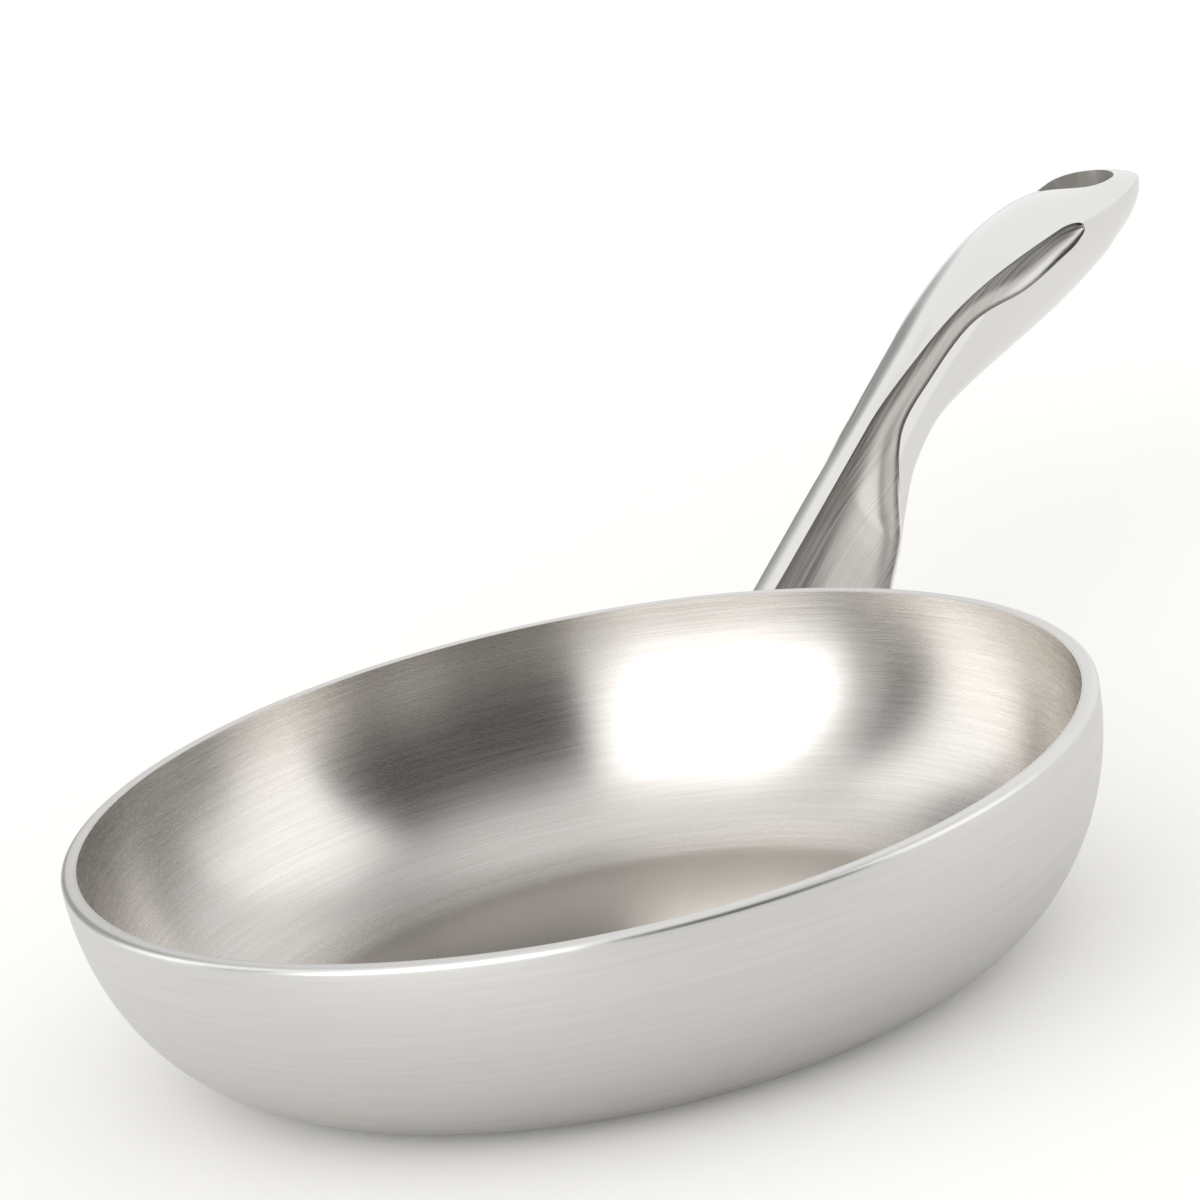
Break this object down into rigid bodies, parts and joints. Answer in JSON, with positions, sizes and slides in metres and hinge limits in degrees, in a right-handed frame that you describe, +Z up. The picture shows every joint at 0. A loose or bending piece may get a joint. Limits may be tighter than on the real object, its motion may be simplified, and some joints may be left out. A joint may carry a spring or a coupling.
{
  "type": "omelette pan",
  "caption": "Round shallow pan with sloping walls and one long, rising, hollow handle with a grooved flank and a hanging hole.",
  "frame": {"origin": "centre of the flat base, on its underside", "axes": "+Z up out of the pan's mouth, +X along the handle from the bowl to its tip"},
  "size_m": [0.435, 0.2, 0.0679],
  "materials": {
    "inner_steel": "fine brushing in circles, cooking surface",
    "core": "plain rolled sheet, sealed in",
    "outer_steel": "satin brushing round the bowl, lightly polished lip",
    "handle_steel": "mirror-polished stainless steel",
    "root_steel": "welded and polished"
  },
  "bodies": {
    "root": {"inner_ply": "inner_steel", "aluminium_core": "core", "outer_ply": "outer_steel", "handle_left_shell": "handle_steel", "handle_right_shell": "handle_steel", "handle_root_plate": "root_steel", "root_weld": "root_steel"}
  },
  "joints": []
}
